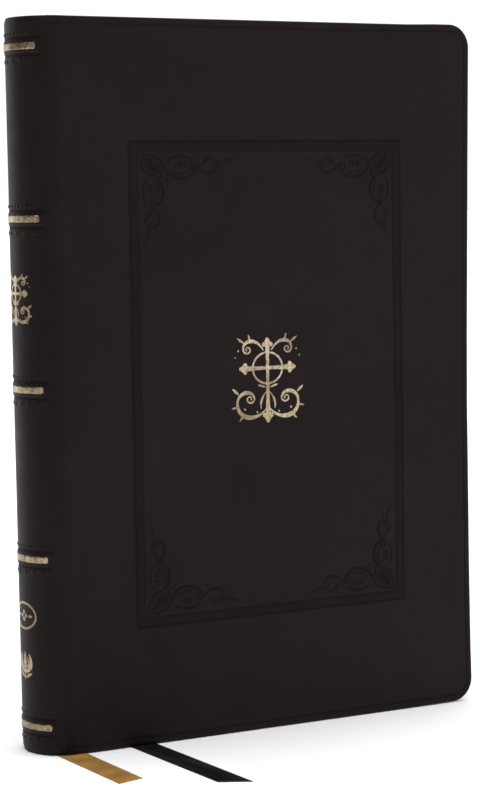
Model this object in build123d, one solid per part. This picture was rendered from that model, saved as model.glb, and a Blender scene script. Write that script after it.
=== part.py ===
from build123d import *
import math
import os

# ---------------------------------------------------------------------------
# Limp-bound bible with a rounded spine, two ribbon markers and loose covers.
# Units are millimetres.  It stands on its tail edge.
#   X  width: spine crown at -X, fore edge at +X
#   Y  thickness: front cover faces -Y, back cover faces +Y
#   Z  height: tail at 0, head at the top
# The origin is the middle of the footprint, on the resting surface.
# ---------------------------------------------------------------------------

# overall
WIDTH = 168.0            # spine crown to fore edge
HEIGHT = 236.0           # tail to head
THICK = 27.0             # front cover face to back cover face
LIFT = 0.30              # the front side stands this much off the surface,
                         # so that it passes over the ribbon tails

X_CROWN = -WIDTH / 2     # outermost line of the spine, and the book's fold
X_FORE = WIDTH / 2
Y_FACE = THICK / 2

# spine leather: half ellipse about a line at X_C
X_C = -72.0              # where the round of the spine meets the flat covers
A_HUB = 11.95            # hub crown half axis (foil adds the last 0.05)
A_OUT, B_OUT = 11.60, 13.50
A_IN, B_IN = 10.80, 12.70
X_SPINE_END = -73.5      # spine leather stops here, at the joint groove
HUB_Z = (226.6, 172.3, 117.9, 63.5, 9.1)
HUB_W = 5.2              # raised hub width along the spine
HUB_Y = 10.6             # hubs fade out at this half width
FOIL_T = 0.05
FOIL_BAND_W = 2.1        # gold line on each hub
FOIL_BAND_Y = 9.3

# text block
SQUARE = 3.3             # cover overhang at head and tail
SIG_PER_HALF = 16
Y_SIG0 = 0.45            # half of the middle opening
Y_SIG1 = 11.80
SIG_GAP = 0.02
X_BC = -68.2             # centre of the rounded back
R_BACK = 13.8
X_SIG_FORE = 80.3        # fore edge of the outermost leaves
FORE_HOLLOW = 4.6        # concave fore edge depth
R_SIG = 6.5              # rounded page corners

# back linings, all arcs about X_BC
THREAD_R = (13.82, 14.00)
MULL_R = (14.02, 14.20)
LINING_R = (14.22, 14.45)
MULL_Y = 9.8
LINING_Y = 9.6
SPLIT = 0.02             # each half stops this far from the fold plane
STATIONS = (22.0, 56.0, 90.0, 118.0, 146.0, 180.0, 214.0)

# covers
X_COVER = -73.3          # spine-side end of each cover
R_COVER = 8.0            # rounded fore-edge corners
LEATHER_T = 0.55
BOARD_T = 0.50
TURN_T = 0.18
PASTE_T = 0.12
RIM = 1.6                # leather wrapped round the board's edge
TURN_W = 13.0            # width of the turned-in leather
PASTE_MARGIN = 3.6       # leather left bare round the paper lining
X_BOARD = -69.5          # spine-side edge of the card stiffener

# loose leaves
LEAF_X0 = -72.7
FLY_Y = (11.97, 12.09)
TITLE_Y = (11.84, 11.92)
MID_Y = ((-0.08, -0.02), (-0.18, -0.12), (-0.28, -0.22), (-0.38, -0.32))
MID_X0 = (-80.5, -80.75, -81.0, -81.25)   # staggered, so turned leaves don't cross

# ribbon markers: width, thickness, route of the inner run and the free tail
RIB_W = 9.4
RIB_T = 0.18
RIB_TOP = 232.6
RIB_JOIN = 3.1           # where the run inside the pages ends
RIB_BEND = 1.4           # centreline radius of the fold onto the surface
GOLD = dict(y=0.33, x_top=-76.0, x_join=-73.35, d=(-0.0168, -0.9999), run=54.8, cut=-2.6)
BLACK = dict(y=0.13, x_top=-74.6, x_join=-48.04, d=(0.0001, -1.0), run=73.4, cut=5.5)

# front ornament foil
ORN_X = 1.5
ORN_Z = 116.4

os.makedirs("parts", exist_ok=True)


def save(name, shape):
    solids = shape.solids()
    out = solids[0] if len(solids) == 1 else Compound(children=list(solids))
    out.label = name
    export_step(out, "parts/" + name + ".step")
    print(name, len(solids), round(sum(s.volume for s in solids), 3))


def prism(sketch, z0, z1):
    return Pos(0, 0, z0) * extrude(sketch, amount=z1 - z0)


def region(x0, x1, y0, y1):
    return Pos((x0 + x1) / 2, (y0 + y1) / 2) * Rectangle(x1 - x0, y1 - y0)


def side_box(side, y0, y1, x0=-90.0, x1=90.0):
    lo, hi = sorted((side * y0, side * y1))
    return region(x0, x1, lo, hi)


def ring_ellipse(side, ao, bo, ai, bi, y0, y1, x_end):
    ring = Pos(X_C, 0) * Ellipse(ao, bo) - Pos(X_C, 0) * Ellipse(ai, bi)
    return ring & side_box(side, y0, y1, -90.0, x_end)


def ring_arc(side, r0, r1, y0, y1, x_end=-70.0):
    ring = Pos(X_BC, 0) * Circle(r1) - Pos(X_BC, 0) * Circle(r0)
    return ring & side_box(side, y0, y1, -90.0, x_end)


def slab(x0, x1, y0, y1, z0, z1, r=0.0):
    lo, hi = sorted((y0, y1))
    b = Pos((x0 + x1) / 2, (lo + hi) / 2, (z0 + z1) / 2) * Box(x1 - x0, hi - lo, z1 - z0)
    if r > 0:
        e = b.edges().filter_by(Axis.Y).sort_by(Axis.X)[-2:]
        b = fillet(e, r)
    return b


# --------------------------------------------------------------- text block
def fore_x(y):
    return X_SIG_FORE - FORE_HOLLOW * (1.0 - (abs(y) / Y_SIG1) ** 2)


def back_x(y):
    return X_BC - math.sqrt(R_BACK ** 2 - y ** 2)


Z0_BLOCK, Z1_BLOCK = SQUARE, HEIGHT - SQUARE


def signatures(side):
    step = (Y_SIG1 - Y_SIG0) / SIG_PER_HALF
    out = []
    for i in range(SIG_PER_HALF):
        a = Y_SIG0 + i * step
        b = a + step - SIG_GAP
        s = slab(back_x(b), fore_x(0.5 * (a + b)), side * a, side * b, Z0_BLOCK, Z1_BLOCK, R_SIG)
        # the folded back of each section is rounded
        e = s.edges().filter_by(Axis.Z).sort_by(Axis.X)[:2]
        out.append(fillet(e, 0.24))
    return Compound(children=out)


def threads(side):
    out = []
    for z in STATIONS:
        sk = ring_arc(side, THREAD_R[0], THREAD_R[1], 0.30, 11.2)
        out.append(prism(sk, z - 0.45, z + 0.45))
    return Compound(children=out)


def band(side, head):
    # striped bead at the end of the text block, with its cloth skirt
    rb = 1.0
    z = Z1_BLOCK + rb + 0.02 if head else Z0_BLOCK - rb - 0.02
    prof = Plane(origin=(X_BC - 12.75, 0, z), x_dir=(1, 0, 0), z_dir=(0, 1, 0)) * Circle(rb)
    ring = revolve(prof, Axis((X_BC, 0, 0), (0, 0, 1)), 360)
    lo, hi = sorted((side * SPLIT, side * 10.4))
    cut = Pos(-80.0, (lo + hi) / 2, z) * Box(20.0, hi - lo, 6.0)
    return ring & cut


save("front_signatures", signatures(-1))
save("rear_signatures", signatures(+1))
save("front_sewing_threads", threads(-1))
save("rear_sewing_threads", threads(+1))
for tag, side in (("front", -1), ("rear", +1)):
    save(tag + "_mull", prism(ring_arc(side, MULL_R[0], MULL_R[1], SPLIT, MULL_Y), 12.0, 224.0))
    save(tag + "_spine_lining", prism(ring_arc(side, LINING_R[0], LINING_R[1], SPLIT, LINING_Y), 5.0, 231.0))
    save(tag + "_head_band", band(side, True))
    save(tag + "_tail_band", band(side, False))

# ------------------------------------------------------------ spine leather
for tag, side in (("front", -1), ("rear", +1)):
    z_low = LIFT if side < 0 else 0.0
    body = prism(ring_ellipse(side, A_OUT, B_OUT, A_IN, B_IN, SPLIT, 13.6, X_SPINE_END), z_low, HEIGHT)
    foils = []
    for z in HUB_Z:
        hub = ring_ellipse(side, A_HUB, B_OUT + 0.1, A_IN + 0.3, B_IN + 0.3, SPLIT, HUB_Y, -76.0)
        body = body + prism(hub, z - HUB_W / 2, z + HUB_W / 2)
        f = ring_ellipse(side, A_HUB + FOIL_T, B_OUT + 0.1 + FOIL_T, A_HUB, B_OUT + 0.1, SPLIT, FOIL_BAND_Y, -76.0)
        foils.append(prism(f, z - FOIL_BAND_W / 2, z + FOIL_BAND_W / 2))
    save(tag + "_spine_leather", body)
    save(tag + "_spine_foil", Compound(children=foils))


# ------------------------------------------------------------------- covers
def ornament(depth0, depth1):
    # Latin cross with lobed ends in a diamond ring
    w = 2.6
    sk = Rectangle(w, 27.0) + Pos(0, 4.2) * Rectangle(17.0, w)
    for p in ((0, 13.5), (0, -13.5), (8.5, 4.2), (-8.5, 4.2)):
        sk = sk + Pos(*p) * Circle(2.2)
    ring = Circle(12.4) - Circle(11.2)
    sk = sk + Pos(0, 4.2) * ring
    pl = Plane(origin=(ORN_X, -depth0, ORN_Z), x_dir=(1, 0, 0), z_dir=(0, 1, 0))
    # the plane's own y axis points down, which the mirrored sketch undoes
    sk = mirror(sk, about=Plane.XZ)
    return extrude(pl * sk, amount=depth0 - depth1)


def cover(tag, side):
    z_low = LIFT if side < 0 else 0.0
    yo = Y_FACE
    y_board = yo - LEATHER_T
    y_turn = y_board - BOARD_T
    y_paste = y_turn - TURN_T
    y_in = y_paste - PASTE_T
    skin = slab(X_COVER, X_FORE, side * yo, side * y_paste, z_low, HEIGHT, R_COVER)
    # pocket for the card, closed by the turned-in margin
    board = slab(X_BOARD, X_FORE - RIM, side * y_board, side * y_turn, z_low + RIM, HEIGHT - RIM, R_COVER - RIM)
    skin = skin - board
    # bare card inside the turned-in margin
    window = slab(X_COVER - 1.0, X_FORE - TURN_W, side * y_turn, side * (y_paste - 1.0),
                  z_low + TURN_W, HEIGHT - TURN_W)
    skin = skin - window
    # joint: the leather alone runs from the card to the spine
    joint = slab(X_COVER - 1.0, X_BOARD, side * y_board, side * (y_paste - 1.0), z_low - 1.0, HEIGHT + 1.0)
    skin = skin - joint
    paste = slab(LEAF_X0 + 0.3, X_FORE - PASTE_MARGIN, side * y_paste, side * y_in,
                 z_low + PASTE_MARGIN, HEIGHT - PASTE_MARGIN, R_COVER - PASTE_MARGIN)
    pad = slab(X_BOARD + 0.1, X_FORE - TURN_W, side * y_turn, side * y_paste,
               z_low + TURN_W, HEIGHT - TURN_W)
    paste = paste + pad
    if side < 0:
        orn = ornament(yo, yo - FOIL_T)
        skin = skin - orn
        save("front_ornament_foil", orn)
    save(tag + "_cover_leather", skin)
    save(tag + "_cover_card", board)
    save(tag + "_pastedown", paste)


cover("front", -1)
cover("back", +1)

# -------------------------------------------------------------- loose leaves
save("front_flyleaf", slab(LEAF_X0, 80.2, -FLY_Y[0], -FLY_Y[1], Z0_BLOCK, Z1_BLOCK, R_SIG))
save("title_leaf", slab(LEAF_X0, 80.0, -TITLE_Y[0], -TITLE_Y[1], Z0_BLOCK, Z1_BLOCK, R_SIG))
save("back_flyleaf", slab(LEAF_X0, 80.2, FLY_Y[0], FLY_Y[1], Z0_BLOCK, Z1_BLOCK, R_SIG))
for i, (y0, y1) in enumerate(MID_Y):
    save("middle_leaf_%d" % (i + 1),
         slab(MID_X0[i], fore_x(0.0) - 0.2, y0, y1, Z0_BLOCK, Z1_BLOCK, R_SIG))


# ------------------------------------------------------------ ribbon markers
def ribbon_run(r):
    # flat run between the pages, leaning from the spine at the head
    h = RIB_W / 2
    pts = [(r["x_top"] - h, RIB_TOP), (r["x_top"] + h, RIB_TOP),
           (r["x_join"] + h, RIB_JOIN), (r["x_join"] - h, RIB_JOIN)]
    pl = Plane(origin=(0, r["y"] + RIB_T / 2, 0), x_dir=(1, 0, 0), z_dir=(0, -1, 0))
    face = make_face(pl.from_local_coords(Polyline(*pts, close=True)))
    s = extrude(face, amount=RIB_T, dir=(0, -1, 0))
    return s


def ribbon_tail(r):
    # the run drops out of the tail, folds onto the surface and lies flat
    t = RIB_T / 2
    zc = t + RIB_BEND
    length = r["run"] + 12.0
    k = math.sqrt(0.5)
    ro, ri = RIB_BEND + t, RIB_BEND - t
    with BuildSketch() as sk:
        with BuildLine():
            Line((-t, RIB_JOIN), (-t, zc))
            ThreePointArc((-t, zc), (RIB_BEND - ro * k, zc - ro * k), (RIB_BEND, 0.0))
            Line((RIB_BEND, 0.0), (length, 0.0))
            Line((length, 0.0), (length, 2 * t))
            Line((length, 2 * t), (RIB_BEND, 2 * t))
            ThreePointArc((RIB_BEND, 2 * t), (RIB_BEND - ri * k, zc - ri * k), (t, zc))
            Line((t, zc), (t, RIB_JOIN))
            Line((t, RIB_JOIN), (-t, RIB_JOIN))
        make_face()
    d = Vector(r["d"][0], r["d"][1], 0).normalized()
    w = d.cross(Vector(0, 0, 1))
    pl = Plane(origin=(r["x_join"], r["y"], 0), x_dir=d, z_dir=w)
    strip = extrude(pl * sk.sketch, amount=RIB_W / 2, both=True)
    # slanted cut at the end
    o = Vector(r["x_join"], r["y"], 0)
    n = Vector(-d.Y, d.X, 0)
    h = RIB_W / 2 + 1.0
    c = r["cut"] / RIB_W * h
    pts = [o - d * 2 + n * h, o - d * 2 - n * h,
           o + d * (r["run"] - c) - n * h, o + d * (r["run"] + c) + n * h]
    plan = make_face(Polyline(*[(p.X, p.Y) for p in pts], close=True))
    return strip & prism(plan, -1.0, 4.0)


for name, r in (("gold_ribbon", GOLD), ("black_ribbon", BLACK)):
    save(name, ribbon_run(r))
    save(name + "_tail", ribbon_tail(r))
    print(name, "length inside", round(math.hypot(RIB_TOP - RIB_JOIN, r["x_top"] - r["x_join"]), 1),
          "free tail", round(RIB_JOIN - RIB_T / 2 - RIB_BEND + math.pi / 2 * RIB_BEND + r["run"] - RIB_BEND, 1),
          "fold radius", RIB_BEND)
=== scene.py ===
import bpy, math
import numpy as np
from mathutils import Vector, Matrix


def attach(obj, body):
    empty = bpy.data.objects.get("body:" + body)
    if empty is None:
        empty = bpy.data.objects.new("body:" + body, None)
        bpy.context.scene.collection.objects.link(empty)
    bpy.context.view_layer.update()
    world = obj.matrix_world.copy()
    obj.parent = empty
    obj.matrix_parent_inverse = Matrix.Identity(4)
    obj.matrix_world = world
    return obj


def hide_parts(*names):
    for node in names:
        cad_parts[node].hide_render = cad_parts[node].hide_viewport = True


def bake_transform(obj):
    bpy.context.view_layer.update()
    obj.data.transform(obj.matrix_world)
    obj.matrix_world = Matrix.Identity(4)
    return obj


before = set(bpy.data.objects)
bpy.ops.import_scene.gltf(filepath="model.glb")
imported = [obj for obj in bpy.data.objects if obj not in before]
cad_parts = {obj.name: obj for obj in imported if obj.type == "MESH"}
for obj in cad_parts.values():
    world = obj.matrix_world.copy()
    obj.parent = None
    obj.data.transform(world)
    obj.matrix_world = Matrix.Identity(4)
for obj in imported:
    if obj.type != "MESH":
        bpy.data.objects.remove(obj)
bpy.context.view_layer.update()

RNG = np.random.default_rng(7)
MM = 0.001

# ------------------------------------------------------------------ design sizes, in millimetres, as the frame has them
XC, A_OUT, B_OUT = -72.0, 11.60, 13.50
Y_FACE = 13.5
HEIGHT, LIFT = 236.0, 0.30
X_FORE = 84.0
HUB_Z = (226.6, 172.3, 117.9, 63.5, 9.1)
X_BC, R_BACK = -68.2, 13.8
SEAM_T = math.radians(70.9)


# ================================================================== helpers
def smooth(t):
    t = np.clip(t, 0.0, 1.0)
    return t * t * (3 - 2 * t)


def new_mesh(name, verts_mm, faces, mats, face_mat=None, shade=True):
    """A piece from vertices in millimetres; its rest place is kept for the materials."""
    v = np.asarray(verts_mm, float) * MM
    me = bpy.data.meshes.new(name)
    me.from_pydata(v.tolist(), [], [list(map(int, f)) for f in faces])
    for m in mats:
        me.materials.append(m)
    if face_mat is not None:
        me.polygons.foreach_set("material_index", np.asarray(face_mat, np.int32))
    me.polygons.foreach_set("use_smooth", np.full(len(me.polygons), bool(shade)))
    a = me.attributes.new("rest_pos", "FLOAT_VECTOR", "POINT")
    a.data.foreach_set("vector", v.astype(np.float32).ravel())
    me.update()
    ob = bpy.data.objects.new(name, me)
    bpy.context.scene.collection.objects.link(ob)
    return ob


def tooled_and_groove_shade(ob, values):
    """How deeply each point is tooled, 0 to 1, for the leather's colour: it darkens the colour there, partly the blind
    tooling's own darker colour, partly painted shade in the grooves and creases.
    """
    full = np.zeros(len(ob.data.vertices), np.float32)
    full[:len(values)] = values
    at = ob.data.attributes.new("tooled_and_groove_shade", "FLOAT", "POINT")
    at.data.foreach_set("value", full)


def grid_faces(nr, nc, base=0, flip=False, wrap=False):
    i = np.arange(nr - 1)[:, None]
    j = np.arange(nc if wrap else nc - 1)[None, :]
    jn = (j + 1) % nc
    a = base + i * nc + j
    b = base + i * nc + jn
    c = base + (i + 1) * nc + jn
    d = base + (i + 1) * nc + j
    q = np.stack([a, b, c, d], -1).reshape(-1, 4)
    return (q[:, ::-1] if flip else q).tolist()


def outward(ob):
    """Face directions made consistent and outward."""
    import bmesh
    bm = bmesh.new()
    bm.from_mesh(ob.data)
    bmesh.ops.recalc_face_normals(bm, faces=bm.faces)
    bm.to_mesh(ob.data)
    bm.free()
    ob.data.update()
    return ob


def strip_values(*parts):
    """Grid lines: each part is (start, stop, step); the ends join up."""
    out = []
    for a, b, s in parts:
        n = max(1, int(round((b - a) / s)))
        out += list(np.linspace(a, b, n + 1)[:-1])
    out.append(parts[-1][1])
    return np.array(out)


def strokes_sdf(P, S):
    """Signed distance from points to a set of tapered strokes (x0, y0, x1, y1, half width 0, half width 1)."""
    d = np.full(len(P), 1e3)
    for x0, y0, x1, y1, w0, w1 in S:
        ax, ay = x1 - x0, y1 - y0
        L = ax * ax + ay * ay
        px, py = P[:, 0] - x0, P[:, 1] - y0
        t = np.clip((px * ax + py * ay) / L, 0, 1) if L > 1e-12 else np.zeros(len(P))
        e = np.hypot(px - t * ax, py - t * ay) - (w0 + (w1 - w0) * t)
        np.minimum(d, e, out=d)
    return d


def path(pts, w):
    """Strokes along a polyline, with a half width at each point."""
    w = np.interp(np.linspace(0, 1, len(pts)), np.linspace(0, 1, len(w)), w)
    return [(pts[i][0], pts[i][1], pts[i + 1][0], pts[i + 1][1], w[i], w[i + 1]) for i in range(len(pts) - 1)]


def bez(p0, p1, p2, p3, n=14):
    t = np.linspace(0, 1, n)[:, None]
    p0, p1, p2, p3 = map(np.array, (p0, p1, p2, p3))
    return ((1 - t) ** 3 * p0 + 3 * (1 - t) ** 2 * t * p1 + 3 * (1 - t) * t * t * p2 + t ** 3 * p3).tolist()


def spiral(cx, cy, r0, r1, a0, a1, n=26):
    a = np.radians(np.linspace(a0, a1, n))
    r = np.linspace(r0, r1, n)
    return np.stack([cx + r * np.cos(a), cy + r * np.sin(a)], 1).tolist()


def dot(x, y, r):
    return [(x, y, x + 1e-4, y, r, r)]


def leaf(x, y, ang, length, w):
    a = math.radians(ang)
    q = [(x + length * k * math.cos(a), y + length * k * math.sin(a)) for k in (0, 0.25, 0.5, 0.75, 1.0)]
    return path(q, [0.12, 0.75 * w, w, 0.7 * w, 0.1])


def mirror_x(S):
    return S + [(-a, b, -c, d, w0, w1) for a, b, c, d, w0, w1 in S]


# ================================================================== generic ornaments (no lettering)
def cover_mark(wk=0.70, hk=0.91):
    """Cross with a ring and scrollwork: 27 mm wide and 28 mm high."""
    cy = 4.6
    S = []
    S += path([(0, cy), (0, cy + 4.0), (0, cy + 7.4), (0, cy + 9.0)], [0.80, 0.86, 1.15, 1.9])
    S += path([(0, cy), (0, -6.0), (0, -11.2), (0, -13.2)], [0.80, 0.90, 1.2, 2.0])
    H = path([(0, cy), (4.0, cy), (7.3, cy), (8.9, cy)], [0.80, 0.86, 1.15, 1.9])
    for a, b in ((0.0, cy + 10.3), (-1.35, cy + 8.6), (1.35, cy + 8.6), (0.0, -14.6), (-1.4, -12.7), (1.4, -12.7)):
        S += dot(a, b, 1.05)
    H += dot(10.2, cy, 1.0) + dot(8.6, cy + 1.35, 1.0) + dot(8.6, cy - 1.35, 1.0)
    # ring through the arms
    R = path(spiral(0, cy, 5.7, 5.7, -90, 90, 40), [0.48, 0.48])
    # upper scrolls, between the arms
    U = path(bez((1.6, cy + 6.6), (4.2, cy + 11.5), (9.6, cy + 10.6), (9.3, cy + 6.9)), [0.30, 0.95, 0.45])
    U += path(spiral(7.7, cy + 6.9, 1.6, 0.35, 0, -420), [0.45, 0.30])
    U += leaf(8.9, cy + 9.2, 38, 3.4, 0.62) + leaf(6.6, cy + 10.0, 74, 2.6, 0.5)
    U += dot(11.2, cy + 6.6, 0.5) + dot(12.4, cy + 4.2, 0.4)
    # lower scrolls, either side of the shaft
    L = path(bez((0.8, -10.4), (5.0, -15.6), (12.6, -13.4), (11.7, -7.2)), [0.32, 1.15, 0.62])
    L += path(bez((11.7, -7.2), (11.2, -3.6), (5.6, -2.9), (5.2, -6.6)), [0.62, 0.95, 0.42])
    L += path(spiral(6.9, -6.5, 1.7, 0.35, 180, 590), [0.42, 0.30])
    L += leaf(11.3, -4.6, 42, 3.2, 0.7) + leaf(12.0, -9.4, -8, 2.1, 0.55) + leaf(9.6, -12.6, -52, 2.4, 0.55)
    L += path(bez((0.9, -4.4), (2.3, -6.0), (3.2, -8.6), (2.6, -10.2)), [0.22, 0.6, 0.22])
    L += leaf(1.0, -2.4, 18, 3.0, 0.55)
    L += dot(4.2, -11.4, 0.5) + dot(8.9, -10.2, 0.55)
    return [(a, b * hk, c, d * hk, w0 * wk, w1 * wk) for a, b, c, d, w0, w1 in S + mirror_x(H + R + U + L)]


def spine_mark():
    """The cover's mark again, smaller: 15.4 mm wide and 14 mm high."""
    k = 0.545
    return [(a * k * 1.06, b * k * 0.93, c * k * 1.06, d * k * 0.93, w0 * k, w1 * k) for a, b, c, d, w0, w1 in cover_mark(1.0, 1.0)]


def rosette_mark():
    """Oval ring with a small quatrefoil."""
    ring = [(6.3 * math.cos(math.radians(k)), 4.2 * math.sin(math.radians(k))) for k in range(0, 361, 12)]
    S = path(ring, [0.36] * len(ring))
    for a in range(4):
        c, q = math.cos(math.pi / 2 * a), math.sin(math.pi / 2 * a)
        S += dot(1.25 * c, 1.15 * q, 0.72)
    for q in (-1, 1):
        S += leaf(q * 2.6, 0.0, 90 - q * 90, 2.3, 0.5)
    return S


def tulip_mark():
    """Closed tulip of three petals, with a stem and two low leaves."""
    S = path([(0, -4.6), (0, -1.8)], [0.3, 0.44])
    S += leaf(0, -2.2, 90, 6.4, 1.0)
    H = path(bez((0.5, -2.1), (3.7, -2.0), (4.1, 1.6), (2.6, 3.4)), [0.5, 0.95, 0.3])
    H += path(bez((0.9, -0.9), (2.2, -0.4), (2.4, 1.4), (1.7, 2.6)), [0.2, 0.40, 0.2])
    H += leaf(0.3, -4.2, 24, 4.0, 0.55)
    return S + mirror_x(H)


def corner_scroll():
    """Blind-tooled corner: strokes in (along one side, along the other), from the inner frame's corner."""
    A = []
    A += path(bez((1.3, 0.8), (6.0, 0.6), (9.5, 2.4), (9.8, 5.4)), [0.25, 0.55, 0.34])
    A += path(spiral(8.0, 5.4, 1.8, 0.5, 0, 400), [0.34, 0.24])
    A += path(bez((9.8, 4.4), (10.6, 10.0), (19.8, 11.4), (22.6, 5.8)), [0.30, 0.62, 0.36])
    A += path(spiral(20.9, 5.6, 1.75, 0.45, 5, -400), [0.36, 0.24])
    A += path(bez((11.2, 3.0), (14.5, 0.9), (18.6, 0.9), (21.2, 2.8)), [0.24, 0.50, 0.24])
    A += path(bez((12.6, 6.2), (14.4, 8.0), (17.0, 8.2), (18.4, 6.9)), [0.22, 0.42, 0.22])
    A += leaf(14.0, 5.6, -60, 2.9, 0.5) + leaf(16.4, 5.8, -88, 3.0, 0.5) + leaf(18.4, 5.4, -120, 2.6, 0.45)
    A += path(bez((22.9, 4.6), (25.0, 9.0), (31.2, 8.0), (31.6, 4.3)), [0.28, 0.56, 0.32])
    A += path(spiral(30.2, 4.2, 1.4, 0.4, 5, -380), [0.32, 0.22])
    A += leaf(24.6, 4.4, -30, 3.4, 0.5) + leaf(25.6, 2.2, 0, 4.2, 0.42)
    A += path(bez((31.6, 3.4), (34.0, 3.8), (36.0, 2.6), (38.4, 1.2)), [0.28, 0.40, 0.14])
    A += dot(33.4, 5.4, 0.42) + dot(24.0, 9.2, 0.42) + dot(11.4, 10.4, 0.5)
    D = leaf(1.6, 1.6, 45, 7.4, 0.95) + dot(8.6, 8.6, 0.62)
    D += path(bez((5.0, 2.4), (7.6, 3.0), (8.0, 6.2), (6.6, 7.0)), [0.2, 0.4, 0.2])
    sym = A + D
    return sym + [(b, a * 0.84, d, c * 0.84, w0, w1) for a, b, c, d, w0, w1 in sym]


FRAME = (-49.7, 54.0, 39.1, 196.6)      # outer line of the tooled frame: x0, x1, z0, z1
FRAME_IN = 2.9                          # the inner line stands this far inside
MARK_X, MARK_Z = 0.8, 117.3


def soft_shape(P, fore=0.0):
    """The leather's own slow shape: the spine is fuller at the head, and the fore edge bows in."""
    P = np.array(P, float)
    x, z = P[:, 0].copy(), P[:, 2]
    P[:, 0] += (-0.55 - 0.42 * (z - 118.0) / 118.0) * smooth((-58.0 - x) / 14.0)
    if fore:
        P[:, 0] += fore * np.interp(z, (0, 20, 50, 85, 105, 130, 160, 190, 215, 236),
                                    (-0.95, -1.45, -1.8, -1.95, -2.1, -1.9, -1.45, -1.05, -0.65, -0.3)) * smooth((x - 62.0) / 20.0)
        P[:, 2] += 0.3 * smooth((x - 56.0) / 16.0) * smooth((z - 215.0) / 20.0) * (fore > 0.9)
    return P


# ================================================================== materials
def nodes_of(m):
    m.use_nodes = True
    nt = m.node_tree
    nt.nodes.clear()
    out = nt.nodes.new("ShaderNodeOutputMaterial")
    bs = nt.nodes.new("ShaderNodeBsdfPrincipled")
    nt.links.new(bs.outputs[0], out.inputs[0])
    return nt, bs


class G:
    """Short node graph builder."""

    def __init__(self, name, coords="rest"):
        self.m = bpy.data.materials.new(name)
        self.nt, self.bs = nodes_of(self.m)
        if coords == "rest":
            n = self.n("ShaderNodeAttribute")
            n.attribute_name = "rest_pos"
            self.co = n.outputs["Vector"]
        else:
            self.co = self.n("ShaderNodeTexCoord").outputs["Object"]

    def n(self, kind, **k):
        x = self.nt.nodes.new(kind)
        for a, b in k.items():
            setattr(x, a, b)
        return x

    def l(self, a, b):
        self.nt.links.new(a, b)

    def put(self, sock, v):
        if isinstance(v, bpy.types.NodeSocket):
            self.l(v, sock)
        else:
            sock.default_value = v

    def math(self, op, a, b=0.0, c=0.0, clamp=False):
        x = self.n("ShaderNodeMath", operation=op, use_clamp=clamp)
        self.put(x.inputs[0], a)
        self.put(x.inputs[1], b)
        self.put(x.inputs[2], c)
        return x.outputs[0]

    def scale(self, v):
        x = self.n("ShaderNodeVectorMath", operation="MULTIPLY")
        self.l(self.co, x.inputs[0])
        x.inputs[1].default_value = v
        return x.outputs[0]

    def noise(self, scale, detail=4.0, rough=0.5, vec=None, dist=0.0):
        x = self.n("ShaderNodeTexNoise")
        self.l(vec if vec is not None else self.co, x.inputs["Vector"])
        x.inputs["Scale"].default_value = scale
        x.inputs["Detail"].default_value = detail
        x.inputs["Roughness"].default_value = rough
        x.inputs["Distortion"].default_value = dist
        return x.outputs["Fac"] if "Fac" in x.outputs else x.outputs[0]

    def voronoi(self, scale, feature="DISTANCE_TO_EDGE", vec=None, rnd=1.0):
        x = self.n("ShaderNodeTexVoronoi", feature=feature)
        self.l(vec if vec is not None else self.co, x.inputs["Vector"])
        x.inputs["Scale"].default_value = scale
        x.inputs["Randomness"].default_value = rnd
        return x.outputs["Distance"]

    def ramp(self, fac, stops):
        x = self.n("ShaderNodeValToRGB")
        self.l(fac, x.inputs[0])
        e = x.color_ramp.elements
        while len(e) < len(stops):
            e.new(0.5)
        for el, (p, c) in zip(e, stops):
            el.position = p
            el.color = (c, c, c, 1) if isinstance(c, (int, float)) else (*c, 1)
        return x.outputs[0]

    def mix(self, fac, a, b):
        x = self.n("ShaderNodeMix", data_type="RGBA")
        self.put(x.inputs[0], fac)
        self.put(x.inputs[6], a if isinstance(a, bpy.types.NodeSocket) else (*a, 1))
        self.put(x.inputs[7], b if isinstance(b, bpy.types.NodeSocket) else (*b, 1))
        return x.outputs[2]

    def rng(self, v, a, b, c, d):
        x = self.n("ShaderNodeMapRange")
        self.l(v, x.inputs[0])
        for k, q in enumerate((a, b, c, d)):
            x.inputs[k + 1].default_value = q
        return x.outputs[0]

    def bump(self, height, strength, dist, normal=None):
        x = self.n("ShaderNodeBump")
        x.inputs["Strength"].default_value = strength
        x.inputs["Distance"].default_value = dist
        self.l(height, x.inputs["Height"])
        if normal is not None:
            self.l(normal, x.inputs["Normal"])
        return x.outputs[0]

    def set(self, **k):
        for a, v in k.items():
            self.put(self.bs.inputs[a.replace("_", " ")], v)

    def xyz(self):
        x = self.n("ShaderNodeSeparateXYZ")
        self.l(self.co, x.inputs[0])
        return x.outputs


def lin(r, g, b):
    f = lambda c: c / 12.92 if c <= 0.04045 else ((c + 0.055) / 1.055) ** 2.4
    return tuple(f(v / 255.0) for v in (r, g, b))


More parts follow.
